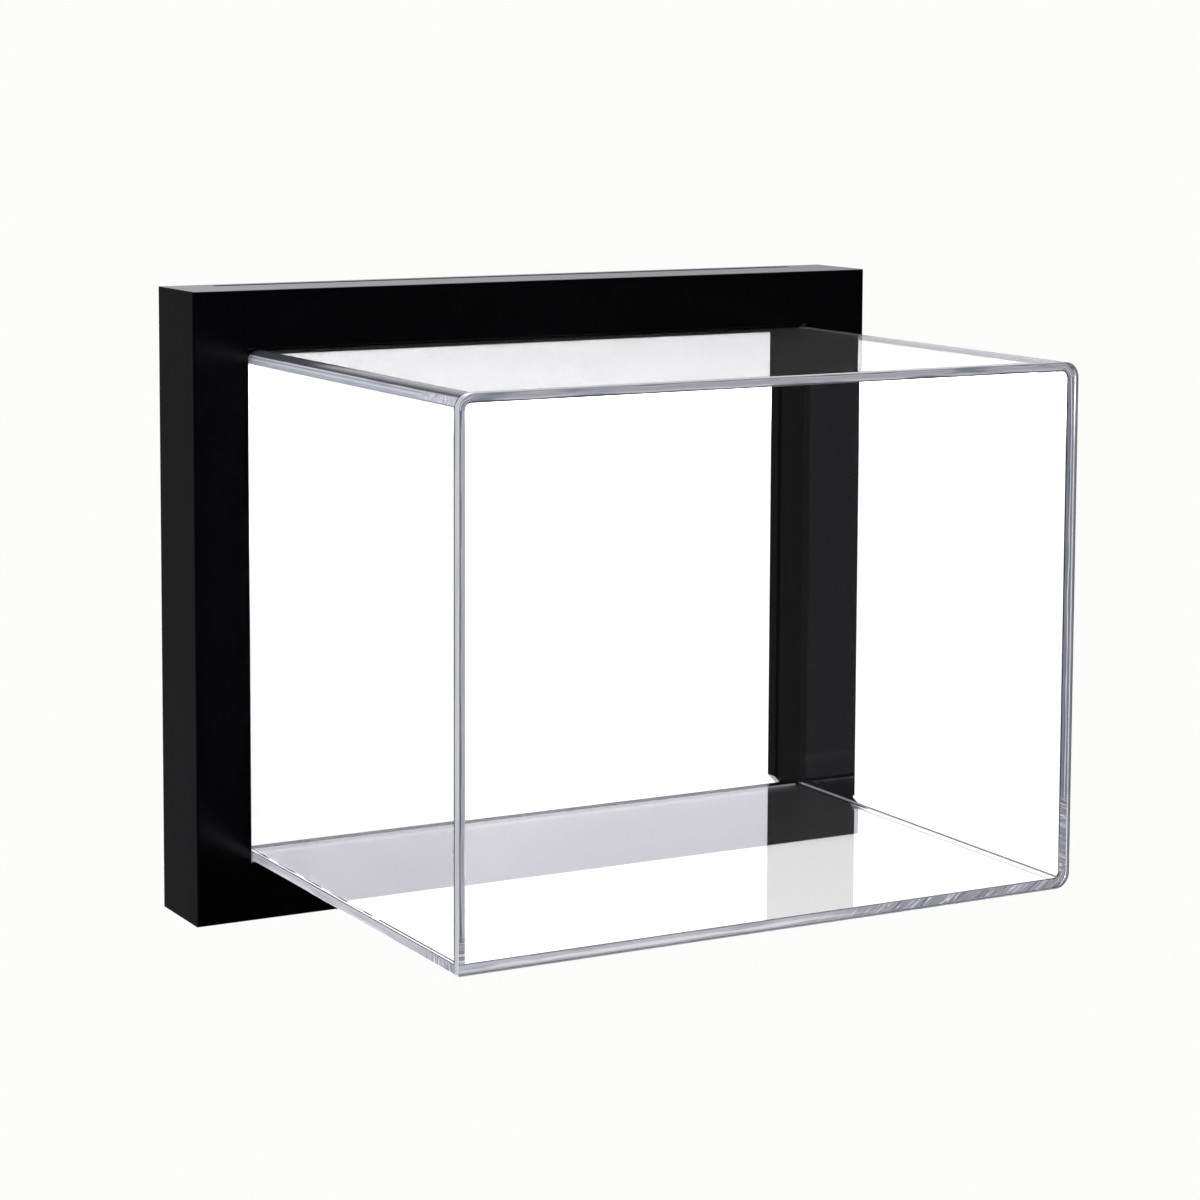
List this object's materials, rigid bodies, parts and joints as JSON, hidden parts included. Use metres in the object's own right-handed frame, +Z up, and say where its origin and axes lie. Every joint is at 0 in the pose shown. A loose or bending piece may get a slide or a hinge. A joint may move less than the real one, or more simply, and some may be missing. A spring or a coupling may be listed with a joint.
{
  "type": "mini helmet display case",
  "caption": "Wall display case for a mini helmet: a black mitred wood frame, a bent clear acrylic cover that stands forward of it, and a clear back that lifts out.",
  "frame": {"origin": "middle of the top rail's back face, where the hung case lies against the wall", "axes": "+X along the frame to the right as seen from the front, +Y into the wall, +Z up"},
  "size_m": [0.254, 0.1786, 0.205],
  "materials": {
    "black_wood": "satin black lacquer on wood",
    "clear_acrylic": "clear cast acrylic, glossy",
    "zinc_steel": "bright zinc plate",
    "bumper_rubber": "matt black rubber"
  },
  "bodies": {
    "case": {"top_rail": "black_wood", "bottom_rail": "black_wood", "left_stile": "black_wood", "right_stile": "black_wood", "top_stop": "black_wood", "mitre_wedge_top_left_outer": "zinc_steel", "mitre_wedge_top_left_inner": "zinc_steel", "mitre_wedge_top_right_outer": "zinc_steel", "mitre_wedge_top_right_inner": "zinc_steel", "mitre_wedge_bottom_left_outer": "zinc_steel", "mitre_wedge_bottom_left_inner": "zinc_steel", "mitre_wedge_bottom_right_outer": "zinc_steel", "mitre_wedge_bottom_right_inner": "zinc_steel", "cover_wrap": "clear_acrylic", "cover_front": "clear_acrylic", "keyhole_hanger_left": "zinc_steel", "keyhole_hanger_right": "zinc_steel", "hanger_screw_left_lower": "zinc_steel", "hanger_screw_left_upper": "zinc_steel", "hanger_screw_right_lower": "zinc_steel", "hanger_screw_right_upper": "zinc_steel", "bumper_top_left": "bumper_rubber", "bumper_top_right": "bumper_rubber", "bumper_bottom_left": "bumper_rubber", "bumper_bottom_right": "bumper_rubber"},
    "panel": {"back_panel": "clear_acrylic"}
  },
  "joints": [
    {"name": "back_panel_lift", "type": "slide", "parent": "case", "child": "panel", "axis": [0, 0, 1], "range_m": [0, 0.185]}
  ]
}
